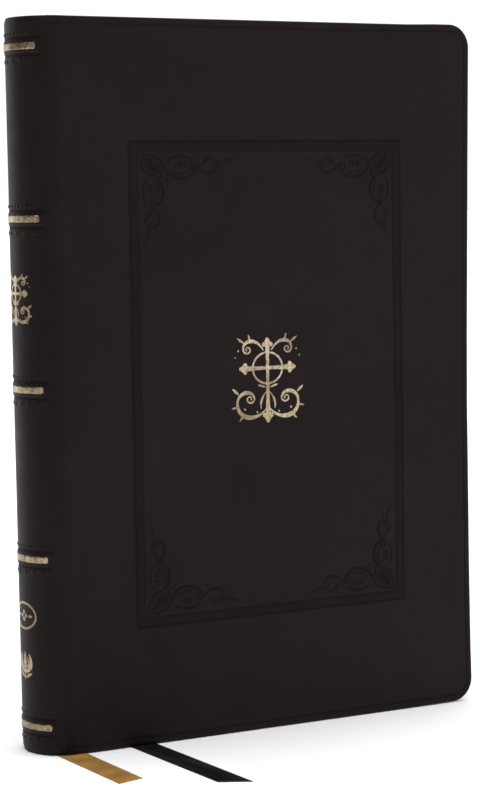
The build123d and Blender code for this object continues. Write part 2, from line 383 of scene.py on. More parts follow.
def leather_material():
    g = G("leathersoft")
    big = g.noise(16.0, 3.0, 0.5)
    mid = g.noise(120.0, 4.0, 0.55)
    pores = g.voronoi(1250.0)
    fine = g.noise(2600.0, 3.0, 0.6)
    base = g.mix(g.rng(big, 0.35, 0.68, 0.0, 1.0), lin(25, 16, 17), lin(32, 20, 21))
    base = g.mix(g.rng(mid, 0.35, 0.7, 0.0, 0.45), base, lin(21, 14, 15))
    # painted shade: the base colour is darkened along the grain's creases, where the bump below sinks
    crease = g.ramp(pores, [(0.0, 0.62), (0.10, 0.95), (0.25, 1.0)])
    x = g.n("ShaderNodeMix", data_type="RGBA", blend_type="MULTIPLY")
    x.inputs[0].default_value = 0.75
    g.l(base, x.inputs[6])
    g.l(crease, x.inputs[7])
    at = g.n("ShaderNodeAttribute")
    at.attribute_name = "tooled_and_groove_shade"
    tool_and_shade = at.outputs["Fac"]
    # painted shade: the dark colour lin(16, 5, 6) is mixed in by the tooled mask, partly the tooling's own darker
    # colour, partly painted shade in the grooves and creases
    g.set(Base_Color=g.mix(g.math("MULTIPLY", tool_and_shade, 0.92), x.outputs[2], lin(16, 5, 6)))
    rough = g.math("ADD", g.rng(mid, 0.3, 0.7, 0.46, 0.55), g.rng(fine, 0.3, 0.7, -0.02, 0.03))
    g.set(Roughness=g.math("ADD", rough, g.math("MULTIPLY", tool_and_shade, 0.16)))
    h = g.math("ADD", g.ramp(pores, [(0.0, 0.0), (0.22, 0.85), (0.6, 1.0)]), g.math("MULTIPLY", fine, 0.35))
    n = g.bump(h, 0.20, 0.00012)
    g.set(Normal=n)
    g.bs.inputs["Specular IOR Level"].default_value = 0.12
    return g.m


def foil_material(name, dark, light, worn):
    g = G(name)
    a = g.noise(900.0, 4.0, 0.6)
    b = g.noise(90.0, 3.0, 0.5)
    pores = g.voronoi(1250.0)
    base = g.mix(g.rng(a, 0.35, 0.65, 0.0, 1.0), lin(*dark), lin(*light))
    base = g.mix(g.rng(b, 0.42, 0.72, 0.0, 0.7), base, lin(*worn))
    g.set(Base_Color=base)
    g.set(Roughness=g.rng(a, 0.3, 0.7, 0.22, 0.40))
    g.set(Normal=g.bump(g.math("ADD", pores, g.math("MULTIPLY", a, 0.4)), 0.16, 0.0001))
    g.bs.inputs["Metallic"].default_value = 0.92
    return g.m


def paper_colour(g, base=(243, 236, 219), dark=(232, 222, 200)):
    a = g.noise(60.0, 4.0, 0.6)
    return g.mix(g.rng(a, 0.3, 0.7, 0.0, 1.0), lin(*base), lin(*dark))


def page_material(name, cols, z0, z1, pitch=0.0031, ink=0.62, coords="rest"):
    """Thin printed paper: plain grey bars stand for the lines of text."""
    g = G(name, coords)
    X, Y, Z = g.xyz()
    base = paper_colour(g)
    row = g.math("DIVIDE", Z, pitch)
    idx = g.math("FLOOR", row)
    fr = g.math("FRACT", row)
    bar = g.math("MULTIPLY", g.math("GREATER_THAN", fr, 0.30), g.math("LESS_THAN", fr, 0.66))
    cmb = g.n("ShaderNodeCombineXYZ")
    g.l(g.math("MULTIPLY", X, 330.0), cmb.inputs[0])
    g.l(g.math("MULTIPLY", idx, 7.37), cmb.inputs[1])
    words = g.noise(1.0, 1.0, 0.5, vec=cmb.outputs[0])
    bar = g.math("MULTIPLY", bar, g.math("GREATER_THAN", words, 0.40))
    mask = None
    for x0, x1 in cols:
        m = g.math("MULTIPLY", g.math("GREATER_THAN", X, x0), g.math("LESS_THAN", X, x1))
        mask = m if mask is None else g.math("ADD", mask, m)
    zz = g.math("MULTIPLY", g.math("GREATER_THAN", Z, z0), g.math("LESS_THAN", Z, z1))
    t = g.math("MULTIPLY", g.math("MULTIPLY", bar, mask), zz)
    col = g.mix(g.math("MULTIPLY", t, ink), base, lin(70, 64, 60))
    g.set(Base_Color=col)
    g.set(Roughness=g.rng(g.noise(500.0), 0.3, 0.7, 0.62, 0.78))
    g.set(Normal=g.bump(g.noise(1400.0, 5.0, 0.6), 0.10, 0.00006))
    g.bs.inputs["Specular IOR Level"].default_value = 0.3
    return g.m


def gilt_material():
    """Gold page edges, with the streaks of thin leaves."""
    g = G("gilt_edges")
    st = g.noise(1.0, 3.0, 0.6, vec=g.scale((6.0, 5200.0, 6.0)))
    st2 = g.noise(1.0, 2.0, 0.5, vec=g.scale((30.0, 1500.0, 30.0)))
    soft = g.noise(30.0, 3.0, 0.5)
    base = g.mix(g.rng(st, 0.3, 0.7, 0.0, 1.0), lin(178, 134, 66), lin(222, 184, 116))
    base = g.mix(g.rng(soft, 0.4, 0.75, 0.0, 0.5), base, lin(196, 158, 100))
    g.set(Base_Color=base)
    g.set(Roughness=g.rng(st2, 0.3, 0.7, 0.30, 0.46))
    g.set(Normal=g.bump(g.math("ADD", st, g.math("MULTIPLY", st2, 1.4)), 0.35, 0.00008))
    g.bs.inputs["Metallic"].default_value = 0.85
    return g.m


def endpaper_material(coords="rest"):
    g = G("endpaper_" + coords, coords)
    a = g.noise(70.0, 5.0, 0.6)
    fib = g.noise(1.0, 4.0, 0.6, vec=g.scale((260.0, 260.0, 1500.0)))
    base = g.mix(g.rng(a, 0.3, 0.7, 0.0, 1.0), lin(72, 54, 46), lin(88, 68, 58))
    base = g.mix(g.rng(fib, 0.5, 0.75, 0.0, 0.35), base, lin(112, 90, 76))
    g.set(Base_Color=base)
    g.set(Roughness=g.rng(a, 0.3, 0.7, 0.66, 0.80))
    g.set(Normal=g.bump(fib, 0.16, 0.00006))
    g.bs.inputs["Specular IOR Level"].default_value = 0.3
    return g.m


def cloth_material(name, c0, c1, weave, coords="rest", rough=(0.75, 0.92), strength=0.5):
    g = G(name, coords)
    X, Y, Z = g.xyz()
    wx = g.math("SINE", g.math("MULTIPLY", g.math("ADD", X, Y), weave))
    wz = g.math("SINE", g.math("MULTIPLY", Z, weave))
    w = g.math("MULTIPLY", g.math("ADD", g.math("MULTIPLY", wx, wz), 1.0), 0.5)
    a = g.noise(300.0, 4.0, 0.6)
    g.set(Base_Color=g.mix(g.math("MULTIPLY", g.math("ADD", w, a), 0.5), lin(*c0), lin(*c1)))
    g.set(Roughness=g.rng(a, 0.3, 0.7, *rough))
    g.set(Normal=g.bump(w, strength, 0.0001))
    return g.m


def satin_material(name, dark, light, sheen, spec):
    """Double-faced satin ribbon: fine ribs across, long floats along, brighter selvages."""
    g = G(name)
    u = g.n("ShaderNodeAttribute")
    u.attribute_name = "ribbon_uv"
    sep = g.n("ShaderNodeSeparateXYZ")
    g.l(u.outputs["Vector"], sep.inputs[0])
    U, V = sep.outputs[0], sep.outputs[1]
    ribs = g.math("SINE", g.math("MULTIPLY", V, 2 * math.pi / 0.00034))
    floats = g.math("SINE", g.math("MULTIPLY", U, 2 * math.pi / 0.00028))
    cord = g.math("SINE", g.math("MULTIPLY", V, 2 * math.pi / 0.00125))
    w = g.math("ADD", g.math("MULTIPLY", ribs, 0.4), g.math("MULTIPLY", floats, 0.4))
    w = g.math("ADD", w, g.math("MULTIPLY", cord, 0.7))
    n1 = g.noise(160.0, 3.0, 0.5)
    n2 = g.noise(1.0, 3.0, 0.55, vec=g.scale((70.0, 70.0, 70.0)))
    sel = g.math("GREATER_THAN", g.math("ABSOLUTE", U), 0.00395)
    base = g.mix(g.rng(g.math("ADD", g.math("MULTIPLY", w, 0.34), n1), 0.15, 0.95, 0.0, 1.0), lin(*dark), lin(*light))
    base = g.mix(g.rng(n2, 0.4, 0.8, 0.0, 0.35), base, lin(*dark))
    base = g.mix(g.math("MULTIPLY", sel, 0.4), base, lin(*[int(c * 0.78) for c in light]))
    g.set(Base_Color=base)
    g.set(Roughness=g.rng(n1, 0.3, 0.7, 0.36, 0.50))
    g.set(Normal=g.bump(w, 0.40, 0.00007))
    g.bs.inputs["Anisotropic"].default_value = 0.45
    g.bs.inputs["Specular IOR Level"].default_value = spec
    g.bs.inputs["Sheen Weight"].default_value = sheen
    g.bs.inputs["Sheen Roughness"].default_value = 0.4
    return g.m


def simple_fibre(name, c0, c1, scale, coords="object", rough=(0.7, 0.9)):
    g = G(name, coords)
    a = g.noise(scale, 5.0, 0.6)
    b = g.noise(1.0, 3.0, 0.5, vec=g.scale((scale, scale, scale * 0.15)))
    g.set(Base_Color=g.mix(g.rng(a, 0.3, 0.7, 0.0, 1.0), lin(*c0), lin(*c1)))
    g.set(Roughness=g.rng(b, 0.3, 0.7, *rough))
    g.set(Normal=g.bump(b, 0.25, 0.00008))
    return g.m


M_LEATHER = leather_material()
# painted light and shade: one gold foil in two copies, the cover's painted lighter and paler, the spine's painted
# darker, for the light each one gets
M_FOIL_PAINTED_LIGHTER = foil_material("gold_foil_cover_painted_lighter", (146, 128, 102), (222, 206, 180), (120, 100, 74))
M_FOIL_SPINE_PAINTED_DARKER = foil_material("gold_foil_spine_painted_darker", (118, 102, 80), (182, 165, 136), (94, 78, 56))
M_GILT = gilt_material()
M_PAGE = page_material("printed_page", [(-0.060, -0.004), (0.006, 0.062)], 0.018, 0.219)
M_TITLE = page_material("title_page", [(-0.026, 0.036)], 0.106, 0.124, pitch=0.006, ink=0.5)
M_PLAIN = page_material("plain_page", [(0.9, 0.91)], 0.9, 0.91)
M_END = endpaper_material()
M_GOLD = satin_material("gold_satin", (112, 74, 20), (196, 148, 62), 0.15, 0.5)
M_BLACK = satin_material("black_satin", (8, 8, 9), (20, 19, 19), 0.0, 0.3)
M_SILK_A = cloth_material("silk_gold", (170, 128, 62), (214, 178, 108), 26000.0, rough=(0.45, 0.6))
M_SILK_B = cloth_material("silk_brown", (44, 30, 24), (72, 50, 40), 26000.0, rough=(0.45, 0.6))
M_MULL = cloth_material("mull", (214, 208, 192), (238, 233, 220), 7500.0, coords="object")
M_KRAFT = simple_fibre("kraft", (158, 124, 84), (186, 150, 106), 900.0)
M_CARD = simple_fibre("grey_card", (138, 130, 116), (164, 154, 138), 700.0)
M_THREAD = simple_fibre("linen_thread", (226, 220, 204), (244, 240, 228), 4000.0)

# ================================================================== camera
CAM = Vector((-411.520, -711.502, 177.350)) * MM
R = Vector((0.86605754, -0.49969478, -0.01579432)).normalized()
F = (Vector((0.49698363, 0.86393206, -0.08141666)) - 0.00031 * Vector((0.0543287, 0.06266199, 0.996555))).normalized()
U = R.cross(F).normalized()
cam_data = bpy.data.cameras.new("camera")
cam_data.sensor_width = 36.0
cam_data.lens = 2442.7 / 800.0 * 36.0
cam = bpy.data.objects.new("camera", cam_data)
bpy.context.scene.collection.objects.link(cam)
cam.matrix_world = Matrix(((R.x, U.x, -F.x, CAM.x), (R.y, U.y, -F.y, CAM.y), (R.z, U.z, -F.z, CAM.z), (0, 0, 0, 1)))
cam_data.clip_start, cam_data.clip_end = 0.05, 60
bpy.context.scene.camera = cam

# ================================================================== ribbon markers
RIB_W, RIB_T = 9.4, 0.18


def ribbon_tail(name, node, x, y, d, run, cut, mat):
    """Free tail of a ribbon marker: a flat strap along the route's smooth line."""
    d = np.array(d, float) / math.hypot(*d)
    side = np.array([d[1], -d[0]])
    z = 0.5 * RIB_T + 0.005
    route = [(0.0, 3.1), (0.0, 1.5), (0.0, z), (1.6, z), (5.0, z), (11.0, z + 0.01), (19.0, z + 0.03), (28.0, z),
             (38.0, z + 0.03), (47.0, z)] + [(s, z) for s in (run - 8.0, run) if s > 50.0]
    cu = bpy.data.curves.new(name + "_route", "CURVE")
    cu.dimensions = "3D"
    sp = cu.splines.new("NURBS")
    sp.points.add(len(route) - 1)
    for p, (s, h) in zip(sp.points, route):
        p.co = ((x + d[0] * s) * MM, (y + d[1] * s) * MM, h * MM, 1.0)
    sp.order_u = 3
    sp.use_endpoint_u = True
    sp.resolution_u = 10
    ob = bpy.data.objects.new(name + "_route", cu)
    bpy.context.scene.collection.objects.link(ob)
    bpy.context.view_layer.update()
    me = bpy.data.meshes.new_from_object(ob)
    P = np.array([v.co for v in me.vertices]) / MM
    bpy.data.meshes.remove(me)
    bpy.data.objects.remove(ob)
    bpy.data.curves.remove(cu)
    # keep even spacing along the flat
    seg = np.r_[0, np.cumsum(np.linalg.norm(np.diff(P, axis=0), axis=1))]
    total = seg[-1]
    nw = 15
    us = np.linspace(-RIB_W / 2, RIB_W / 2, nw)
    T = np.gradient(P, axis=0)
    T /= np.linalg.norm(T, axis=1)[:, None]
    Wv = np.array([side[0], side[1], 0.0])
    N = np.cross(T, Wv)
    N /= np.linalg.norm(N, axis=1)[:, None]
    top, bot, uv = [], [], []
    flat0 = np.searchsorted(seg, 6.0)
    for i in range(len(P)):
        for u in us:
            k = 1.0
            if seg[i] > 6.0:
                k = (total - 6.0 + cut * u / RIB_W * 1.0) / (total - 6.0)
                s2 = 6.0 + (seg[i] - 6.0) * k
            else:
                s2 = seg[i]
            base = np.array([np.interp(s2, seg, P[:, c]) for c in range(3)])
            if s2 > total:
                base = P[-1] + T[-1] * (s2 - total)
            c = base + Wv * u
            th = RIB_T / 2 * (1.0 + 0.10 * (abs(u) > RIB_W / 2 - 0.7)) * (0.45 if abs(u) > RIB_W / 2 - 0.05 else 1.0)
            top.append(c + N[i] * th)
            bot.append(c - N[i] * th)
            uv.append((u, s2))
    n = len(P)
    V = np.array(top + bot)
    faces = grid_faces(n, nw) + grid_faces(n, nw, base=n * nw, flip=True)
    for i in range(n - 1):
        for j in (0, nw - 1):
            a, b = i * nw + j, (i + 1) * nw + j
            faces.append([a, b, b + n * nw, a + n * nw])
    for i in (0, n - 1):
        for j in range(nw - 1):
            a, b = i * nw + j, i * nw + j + 1
            faces.append([a, b, b + n * nw, a + n * nw])
    V[:, 2] = np.maximum(V[:, 2], 0.003)
    ob = new_mesh(name, V, faces, [mat])
    at = ob.data.attributes.new("ribbon_uv", "FLOAT_VECTOR", "POINT")
    uvw = np.array([(a * MM, b * MM, 0) for a, b in uv + uv], np.float32)
    at.data.foreach_set("vector", uvw.ravel())
    outward(ob)
    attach(ob, node)
    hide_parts(node)
    return ob


def ribbon_run(name, node, xt, xb, y, mat):
    n, nw = 120, 11
    z = np.linspace(3.1, 232.6, n)
    u = np.linspace(-RIB_W / 2, RIB_W / 2, nw)
    xc = np.interp(z, (3.1, 232.6), (xb, xt))
    T = RIB_T / 2
    V, uv = [], []
    for s in (-1, 1):
        for i in range(n):
            for q in u:
                th = T * (0.5 if abs(q) > RIB_W / 2 - 0.05 else 1.0)
                V.append((xc[i] + q, y + s * th, z[i]))
                uv.append((q * MM, z[i] * MM, 0))
    faces = grid_faces(n, nw) + grid_faces(n, nw, base=n * nw, flip=True)
    for i in range(n - 1):
        for j in (0, nw - 1):
            a, b = i * nw + j, (i + 1) * nw + j
            faces.append([a, b, b + n * nw, a + n * nw])
    for i in (0, n - 1):
        for j in range(nw - 1):
            a, b = i * nw + j, i * nw + j + 1
            faces.append([a, b, b + n * nw, a + n * nw])
    ob = new_mesh(name, V, faces, [mat])
    at = ob.data.attributes.new("ribbon_uv", "FLOAT_VECTOR", "POINT")
    at.data.foreach_set("vector", np.array(uv, np.float32).ravel())
    outward(ob)
    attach(ob, "root")
    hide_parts(node)
    return ob


ribbon_tail("gold_marker_tail", "gold_ribbon_tail", -73.35, 0.33, (-0.0168, -0.9999), 54.8, 2.6, M_GOLD)
ribbon_tail("black_marker_tail", "black_ribbon_tail", -48.04, 0.13, (0.0001, -1.0), 73.4, -5.5, M_BLACK)
ribbon_run("gold_marker_run", "gold_ribbon", -76.0, -73.35, 0.33, M_GOLD)
ribbon_run("black_marker_run", "black_ribbon", -74.6, -48.04, 0.13, M_BLACK)


# ================================================================== covers
def y_out(x):
    """Outer surface of the leather, as a distance from the middle plane."""
    x = np.asarray(x, float)
    e = np.clip((x - XC) / A_OUT, -0.999, 0.0)
    return np.where(x < XC, B_OUT * np.sqrt(1 - e * e), Y_FACE)


def edge_distance(x, z, z0, z1, r):
    """Distance in from the outline: top, bottom and rounded fore edge."""
    cz, hz = 0.5 * (z0 + z1), 0.5 * (z1 - z0)
    qx = x - (X_FORE - r)
    qz = np.abs(z - cz) - (hz - r)
    d = np.where((qx > 0) & (qz > 0), r - np.hypot(qx, qz), np.minimum(X_FORE - x, hz - np.abs(z - cz)))
    return d


def groove(d, width, depth):
    """Depth of a rounded line of this half width, by distance from its middle."""
    return depth * (1 - smooth(np.abs(d) / width)) ** 1.0


def frame_sdf(x, z, inset):
    x0, x1, z0, z1 = FRAME
    x0, x1, z0, z1 = x0 + inset, x1 - inset, z0 + inset, z1 - inset
    qx, qz = np.abs(x - 0.5 * (x0 + x1)) - 0.5 * (x1 - x0), np.abs(z - 0.5 * (z0 + z1)) - 0.5 * (z1 - z0)
    return np.where((qx > 0) & (qz > 0), np.hypot(qx, qz), np.maximum(qx, qz))


def tooling(x, z):
    """Depth of the blind tooling on the front cover."""
    h = groove(frame_sdf(x, z, 0.0), 0.80, 0.20)
    h = np.maximum(h, groove(frame_sdf(x, z, FRAME_IN), 0.58, 0.15))
    x0, x1, z0, z1 = FRAME
    S = corner_scroll()
    k = FRAME_IN + 0.5
    flat = np.stack([x.ravel(), z.ravel()], 1)
    hh = np.zeros(len(flat))
    for cx, sx in ((x0 + k, 1), (x1 - k, -1)):
        for cz, sz in ((z0 + k, 1), (z1 - k, -1)):
            L = np.stack([(flat[:, 0] - cx) * sx, (flat[:, 1] - cz) * sz], 1) / 0.93
            m = (L[:, 0] > -1.5) & (L[:, 0] < 42) & (L[:, 1] > -1.5) & (L[:, 1] < 42) & ((L[:, 0] < 14) | (L[:, 1] < 14))
            d = strokes_sdf(L[m], S)
            hh[m] = np.maximum(hh[m], 0.18 * (1 - smooth((d + 0.28) / 0.52)))
    return np.maximum(h, hh.reshape(x.shape))


def seat(x, z):
    """Shallow seat under the foil mark."""
    m = (np.abs(x - MARK_X) < 16) & (np.abs(z - MARK_Z) < 18)
    h = np.zeros(x.shape)
    d = strokes_sdf(np.stack([x[m] - MARK_X, z[m] - MARK_Z], 1), cover_mark())
    h[m] = 0.10 * (1 - smooth((d + 0.15) / 0.55))
    return h


def waves(x, z):
    """Slow unevenness of soft leather over thin card."""
    return (0.045 * np.sin(x / 23.0 + 0.7) * np.sin(z / 31.0 + 1.1) + 0.03 * np.sin(x / 11.0 + z / 17.0)
            + 0.018 * np.sin(x / 5.3 - z / 7.9 + 2.0))


def cover_piece(name, node, side, cols, rows, decorate):
    z0 = LIFT if side < 0 else 0.0
    z1 = HEIGHT
    RE, R_COV = 0.615, 8.0
    xe, za, zb = X_FORE - RE, z0 + RE, z1 - RE
    rc = R_COV - RE
    ang = np.radians(np.linspace(0, 90, 19))
    corner = rc * (1 - np.sin(ang[::-1]))
    zs = np.r_[za + corner[:-1], strip_values(*rows), zb - corner[::-1][1:]]
    zs = np.unique(np.round(zs, 5))
    xs = cols
    nz, nx = len(zs), len(xs)
    dz = np.maximum(np.maximum(za + rc - zs, zs - (zb - rc)), 0)
    xmax = xe - rc + np.sqrt(np.maximum(rc ** 2 - dz ** 2, 0))
    X = np.where(xs[None, :] > 60, 60 + (xs[None, :] - 60) * ((xmax[:, None] - 60) / (xe - 60)), xs[None, :])
    Z = np.repeat(zs[:, None], nx, 1)
    # in the joint, where the leather is alone, its rolled edge is thinner
    thin = 0.305 * (1 - smooth((X + 72.4) / 3.0))
    Zb = Z + thin * smooth((Z - (zb - 3.0)) / 3.0) - thin * smooth((za + 3.0 - Z) / 3.0)
    d = edge_distance(X, Z, z0, z1, R_COV)
    crease = groove(d - 2.35, 0.62, 0.15)
    h = crease + 0.07 * smooth(1 - d / 1.7)
    # small pleats where the leather is drawn round the corners
    cz = 0.5 * (z0 + z1)
    qa = np.arctan2(np.abs(Z - cz) - (0.5 * (z1 - z0) - R_COV), X - (X_FORE - R_COV))
    inc = (X > X_FORE - R_COV) & (np.abs(Z - cz) > 0.5 * (z1 - z0) - R_COV)
    h += np.where(inc, 0.045 * np.cos(qa * 26.0) * np.sin(2 * np.clip(qa, 0, math.pi / 2)) * smooth((3.4 - d) / 1.2), 0.0)
    h += waves(X, Z) * smooth((d - 3.0) / 6.0) * smooth((X + 71) / 4.0)
    h += 0.05 * np.exp(-((X + 70.6) / 1.8) ** 2)          # faint joint groove along the spine
    h += 0.16 * np.clip((-75.86 - X) / 0.34, 0, 1)          # tucks under the spine leather's edge
    # painted shade: the edge crease's depth also darkens the leather's colour there
    tool_and_shade = 0.9 * crease / 0.15
    if decorate:
        tl = tooling(X, Z)
        h += tl + seat(X, Z)
        fs = frame_sdf(X, Z, 0.0)
        # painted shade, partly the tooling's own darker colour: the frame lines and corner scrolls are darkened by
        # their depth; the band between the two frame lines is darker too
        tool_and_shade = np.maximum(tool_and_shade, np.clip(tl / 0.16, 0, 1))
        tool_and_shade = np.maximum(tool_and_shade, 0.62 * smooth((-fs + 0.3) / 0.6) * (1 - smooth((-fs - FRAME_IN) / 0.6)))
    Yo = y_out(X)
    outer = np.stack([X, side * (Yo - h), Zb], -1).reshape(-1, 3)
    V = [outer]
    faces = grid_faces(nz, nx, flip=(side > 0))
    # outline loop of the outer face
    I = [(0, j) for j in range(nx)] + [(i, nx - 1) for i in range(1, nz)] + \
        [(nz - 1, j) for j in range(nx - 2, -1, -1)] + [(i, 0) for i in range(nz - 2, 0, -1)]
    nrm = []
    for i, j in I:
        if i == 0:
            nrm.append((0, -1))
        elif i == nz - 1:
            nrm.append((0, 1))
        elif j == nx - 1:
            if zs[i] < za + rc:
                s = (za + rc - zs[i]) / rc
                nrm.append((math.sqrt(max(0, 1 - s * s)), -s))
            elif zs[i] > zb - rc:
                s = (zs[i] - zb + rc) / rc
                nrm.append((math.sqrt(max(0, 1 - s * s)), s))
            else:
                nrm.append((1, 0))
        else:
            nrm.append((0, 0))
    I = np.array(I)
    nrm = np.array(nrm, float)
    px, pz, pzb = X[I[:, 0], I[:, 1]], Z[I[:, 0], I[:, 1]], Zb[I[:, 0], I[:, 1]]
    thick = 0.62 + (1.23 - 0.62) * smooth((px + 72.4) / 3.0)
    yo = np.abs(outer.reshape(nz, nx, 3)[I[:, 0], I[:, 1], 1])
    loops = [I[:, 0] * nx + I[:, 1]]
    nl = len(I)
    base = len(outer)
    K = 8
    for k in range(1, K + 1):
        f = math.pi * k / K
        r = thick / 2
        V.append(np.stack([px + r * math.sin(f) * nrm[:, 0], side * (yo - r + r * math.cos(f)), pzb + r * math.sin(f) * nrm[:, 1]], 1))
        loops.append(base + np.arange(nl))
        base += nl
    cx, cz = 1.4, 118.0
    kx = np.where(px > cx, 0.861, 0.900)
    for t in (0.06, 0.2, 0.4, 0.6, 0.8, 1.0):
        x = cx + (px - cx) * (1 + (kx - 1) * t)
        z = cz + (pzb - cz) * (1 - 0.097 * t)
        th = 0.62 + (1.23 - 0.62) * smooth((x + 72.4) / 3.0)
        yi = y_out(x) - th
        V.append(np.stack([x, side * yi, z], 1))
        loops.append(base + np.arange(nl))
        base += nl
    for a, b in zip(loops[:-1], loops[1:]):
        q = np.stack([a, b, np.roll(b, -1), np.roll(a, -1)], 1)
        faces += q.tolist()
    faces.append(loops[-1].tolist())
    ob = new_mesh(name, soft_shape(np.concatenate(V), 1.0 if side < 0 else 0.55), faces, [M_LEATHER])
    tooled_and_groove_shade(ob, tool_and_shade.ravel())
    outward(ob)
    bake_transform(ob)
    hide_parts(node)
    return ob


front_cols = strip_values((-76.2, -75.86, 0.34), (-75.86, -75.8, 0.03), (-75.8, -72.0, 0.42), (-72.0, -66.0, 0.6), (-66.0, -50.2, 1.75), (-50.2, -44.0, 0.29),
                          (-44.0, -10.0, 0.44), (-10.0, -8.0, 0.5), (-8.0, 11.0, 0.66), (11.0, 52.0, 0.44),
                          (52.0, 57.6, 0.29), (57.6, 79.6, 1.7), (79.6, 83.385, 0.32))
front_rows = [(8.4, 37.8, 2.0), (37.8, 43.6, 0.29), (43.6, 82.0, 0.46), (82.0, 100.5, 1.8), (100.5, 133.0, 0.7),
              (133.0, 154.0, 1.9), (154.0, 192.8, 0.46), (192.8, 198.6, 0.29), (198.6, 227.8, 2.0)]
back_cols = strip_values((-76.2, -75.86, 0.34), (-75.86, -75.8, 0.03), (-75.8, -72.0, 0.42), (-72.0, -66.0, 0.6), (-66.0, 79.6, 2.2), (79.6, 83.385, 0.32))
back_rows = [(8.1, 227.8, 2.4)]
front_leather = cover_piece("front_leather", "front_cover_leather", -1, front_cols, front_rows, True)
back_leather = cover_piece("back_leather", "back_cover_leather", +1, back_cols, back_rows, False)


# ================================================================== spine
_t = np.linspace(-1.5, 1.5, 3001)
_ds = np.hypot(A_OUT * np.sin(_t), B_OUT * np.cos(_t))
_s = np.r_[0, np.cumsum(0.5 * (_ds[1:] + _ds[:-1]) * np.diff(_t))]
_s -= np.interp(0.0, _t, _s)


def spine_point(t, h):
    """Point on the rounded spine: t from the crown (towards the front is positive), h out from the leather."""
    ct, st = np.cos(t), np.sin(t)
    nx, ny = -ct / A_OUT, -st / B_OUT
    L = np.hypot(nx, ny)
    return XC - A_OUT * ct + h * nx / L, -B_OUT * st + h * ny / L


def s_to_t(s):
    return np.interp(s, _s, _t)


SPINE_MARKS = [(146.3, spine_mark()), (44.8, rosette_mark()), (28.8, tulip_mark())]
HUB_RISE = 0.24


def spine_height(t, z):
    """Relief of the spine leather: raised bands, tooled lines, beads, florets and seats for the foil."""
    y = B_OUT * np.sin(t)
    s = np.interp(t, _t, _s)
    fade = 1 - smooth((np.abs(y) - 10.9) / 1.2)
    inside = 1 - smooth((np.abs(s) - 11.2) / 0.8)
    h = np.zeros(np.broadcast(t, z).shape)
    for z0 in HUB_Z:
        dz = z - z0
        h = h + HUB_RISE * smooth((2.35 - np.abs(dz)) / 0.9) * fade
        for q in (-2.75, 2.75):
            h = h - groove(dz - q, 0.40, 0.13) * fade
        cell = np.abs(((s / 1.9) % 1.0) - 0.5) * 1.9
        h = h + 0.30 * (1 - smooth(np.hypot(cell, dz - 4.0) / 0.66)) * inside
        c2 = (((s / 3.8) % 1.0) - 0.5) * 3.8
        r = np.hypot(c2, dz + 4.5)
        petal = 0.82 + 0.22 * np.cos(4 * np.arctan2(dz + 4.5, c2))
        h = h + 0.34 * (1 - smooth(r / petal)) * inside
    for zc, S in SPINE_MARKS:
        m = (np.abs(z - zc) < 9) & (np.abs(s) < 9.5)
        zz, ss = np.broadcast_to(z, m.shape)[m], np.broadcast_to(s, m.shape)[m]
        d = strokes_sdf(np.stack([ss, zz - zc], 1), S)
        h[m] -= 0.07 * (1 - smooth((d + 0.1) / 0.4))
    ends = np.minimum(z, HEIGHT - z)
    h = h - 0.42 * (1 - smooth(ends / 2.6)) ** 2
    return h


def spine_tool_and_shadow_lines(t, z):
    """Where the spine's colour is darkened, 0 to 1: along the tooled lines beside the raised bands, partly the
    tooling's own darker colour, partly painted shadow lines at the bands' edges.
    """
    y = B_OUT * np.sin(t)
    fade = 1 - smooth((np.abs(y) - 10.9) / 1.2)
    k = np.zeros(np.broadcast(t, z).shape)
    for z0 in HUB_Z:
        dz = z - z0
        k = np.maximum(k, groove(np.abs(dz) - 2.7, 0.95, 1.0) * fade)
    return k


